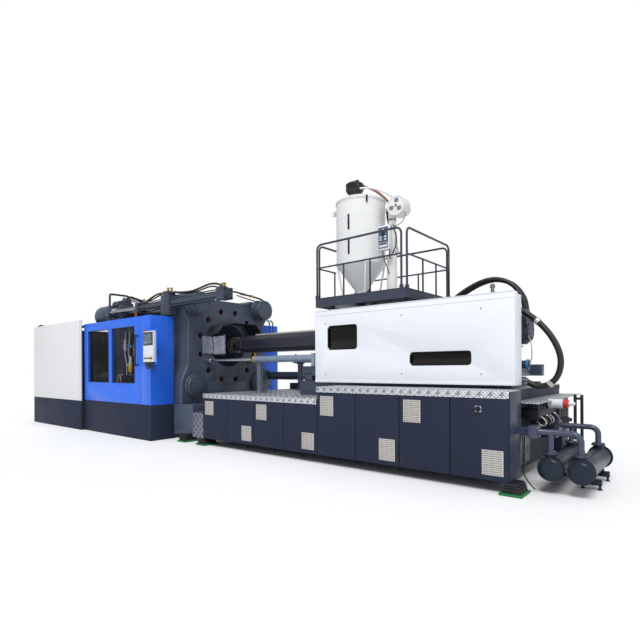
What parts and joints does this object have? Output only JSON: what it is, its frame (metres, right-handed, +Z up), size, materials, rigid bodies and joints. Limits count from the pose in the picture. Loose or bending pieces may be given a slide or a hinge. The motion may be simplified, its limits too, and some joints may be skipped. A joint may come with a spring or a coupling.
{
  "type": "injection moulding machine",
  "caption": "Large two-platen injection moulding machine with sliding gates, a travelling injection unit, a hopper dryer on a railed platform and cabinets under a tread-plate deck.",
  "frame": {"origin": "on the floor, under the centre of the machine's overall box", "axes": "+X along the machine towards the injection end, +Y away from the operator's side, +Z up"},
  "size_m": [16.088, 4.4784, 5.645],
  "materials": {
    "cast_blue_grey": "satin",
    "bright_steel": "polished",
    "dark_cylinder": "satin",
    "anthracite_panel": "satin",
    "light_grey_cover": "satin",
    "cool_white_cover": "satin",
    "clear_pane": "clear",
    "black_handle": "matte",
    "panel_plastic": "satin",
    "green_button": "gloss",
    "red_button": "gloss",
    "tread_plate": "raised tread",
    "motor_grey": "painted",
    "barrel_steel": "ground",
    "sheet_steel": "brushed",
    "platform_grey": "satin",
    "white_enamel": "gloss",
    "black_hose": "matte",
    "green_pad": "satin"
  },
  "bodies": {
    "base": {"carriage_rails": "cast_blue_grey", "clamp_bed": "cast_blue_grey", "clamp_cylinders": "cast_blue_grey", "clamp_pipework": "black_hose", "control_panel": "panel_plastic", "cooler_pipework": "anthracite_panel", "deck_plates": "tread_plate", "fixed_platen": "cast_blue_grey", "front_clamp_cover": "light_grey_cover", "front_guard_frame": "anthracite_panel", "injection_base": "anthracite_panel", "levelling_pads": "green_pad", "oil_coolers": "anthracite_panel", "plinth_panels": "anthracite_panel", "pull_rods": "bright_steel", "pump_motors": "motor_grey", "purge_guard": "sheet_steel", "rear_clamp_cover": "light_grey_cover", "rear_guard_frame": "anthracite_panel", "step_box": "tread_plate", "support_posts": "dark_cylinder", "tie_bars": "bright_steel", "traverse_cylinders": "dark_cylinder"},
    "front_gate": {"front_gate": "anthracite_panel", "front_gate_windows": "clear_pane", "front_gate_handle": "black_handle"},
    "rear_gate": {"rear_gate": "anthracite_panel"},
    "moving_platen": {"moving_platen": "cast_blue_grey", "traverse_rods": "bright_steel", "platen_pipework": "black_hose"},
    "ejector": {"ejector_crosshead": "bright_steel"},
    "carriage": {"carriage_frame": "cast_blue_grey", "pull_cylinders": "dark_cylinder", "barrel": "barrel_steel", "barrel_guard": "sheet_steel", "injection_cylinders": "cast_blue_grey", "drive_motor": "motor_grey", "front_injection_cover": "cool_white_cover", "rear_injection_cover": "cool_white_cover", "platform": "platform_grey", "platform_rails": "platform_grey", "dryer_hopper": "sheet_steel", "hopper_cone": "sheet_steel", "hopper_throat": "sheet_steel", "hopper_lid": "sheet_steel", "hopper_stand": "sheet_steel", "hopper_loader": "black_handle", "dryer_blower": "white_enamel", "dryer_box": "cool_white_cover", "dryer_hoses": "black_hose", "drive_hoses": "black_hose"},
    "ram": {"ram_crosshead": "cast_blue_grey"},
    "screw": {"screw": "barrel_steel"},
    "isolator": {"isolator_handle": "black_handle"},
    "emergency_stop": {"emergency_stop_button": "red_button"},
    "start_button": {"start_button": "green_button"},
    "door_1": {"cabinet_door_1": "anthracite_panel"},
    "door_2": {"cabinet_door_2": "anthracite_panel"},
    "door_3": {"cabinet_door_3": "anthracite_panel"},
    "door_4": {"cabinet_door_4": "anthracite_panel"},
    "door_5": {"cabinet_door_5": "anthracite_panel"},
    "door_6": {"cabinet_door_6": "anthracite_panel"},
    "door_7": {"cabinet_door_7": "anthracite_panel"},
    "door_8": {"cabinet_door_8": "anthracite_panel"}
  },
  "joints": [
    {"name": "front_gate_slide", "type": "slide", "parent": "base", "child": "front_gate", "axis": [-1, 0, 0], "range_m": [0, 2.5]},
    {"name": "rear_gate_slide", "type": "slide", "parent": "base", "child": "rear_gate", "axis": [-1, 0, 0], "range_m": [0, 2.5]},
    {"name": "platen_slide", "type": "slide", "parent": "base", "child": "moving_platen", "axis": [1, 0, 0], "range_m": [0, 1.2]},
    {"name": "ejector_slide", "type": "slide", "parent": "moving_platen", "child": "ejector", "axis": [1, 0, 0], "range_m": [0, 0.25]},
    {"name": "carriage_slide", "type": "slide", "parent": "base", "child": "carriage", "axis": [1, 0, 0], "range_m": [0, 0.8]},
    {"name": "ram_slide", "type": "slide", "parent": "carriage", "child": "ram", "axis": [-1, 0, 0], "range_m": [0, 0.55]},
    {"name": "screw_spin", "type": "hinge", "parent": "ram", "child": "screw", "pos_m": [0.046, 0.01925, 2.32], "axis": [1, 0, 0], "continuous": true},
    {"name": "door_1_hinge", "type": "hinge", "parent": "base", "child": "door_1", "pos_m": [0.492, -1.71075, 0.6], "axis": [0, 0, -1], "range_deg": [0, 90]},
    {"name": "door_2_hinge", "type": "hinge", "parent": "base", "child": "door_2", "pos_m": [2.1375, -1.71075, 0.6], "axis": [0, 0, 1], "range_deg": [0, 90]},
    {"name": "door_3_hinge", "type": "hinge", "parent": "base", "child": "door_3", "pos_m": [2.1495, -1.71075, 0.6], "axis": [0, 0, -1], "range_deg": [0, 90]},
    {"name": "door_4_hinge", "type": "hinge", "parent": "base", "child": "door_4", "pos_m": [3.795, -1.71075, 0.6], "axis": [0, 0, 1], "range_deg": [0, 90]},
    {"name": "door_5_hinge", "type": "hinge", "parent": "base", "child": "door_5", "pos_m": [3.807, -1.71075, 0.6], "axis": [0, 0, -1], "range_deg": [0, 90]},
    {"name": "door_6_hinge", "type": "hinge", "parent": "base", "child": "door_6", "pos_m": [5.4525, -1.71075, 0.6], "axis": [0, 0, 1], "range_deg": [0, 90]},
    {"name": "door_7_hinge", "type": "hinge", "parent": "base", "child": "door_7", "pos_m": [5.4645, -1.71075, 0.6], "axis": [0, 0, -1], "range_deg": [0, 90]},
    {"name": "door_8_hinge", "type": "hinge", "parent": "base", "child": "door_8", "pos_m": [7.11, -1.71075, 0.6], "axis": [0, 0, 1], "range_deg": [0, 90]},
    {"name": "isolator_turn", "type": "hinge", "parent": "door_8", "child": "isolator", "pos_m": [6.70162, -1.71125, 1.13], "axis": [0, 1, 0], "range_deg": [0, 90]},
    {"name": "emergency_stop_press", "type": "slide", "parent": "base", "child": "emergency_stop", "axis": [0, 1, 0], "range_m": [0, 0.006], "stiffness_N_per_m": 900},
    {"name": "start_button_press", "type": "slide", "parent": "base", "child": "start_button", "axis": [0, 1, 0], "range_m": [0, 0.004], "stiffness_N_per_m": 600}
  ]
}
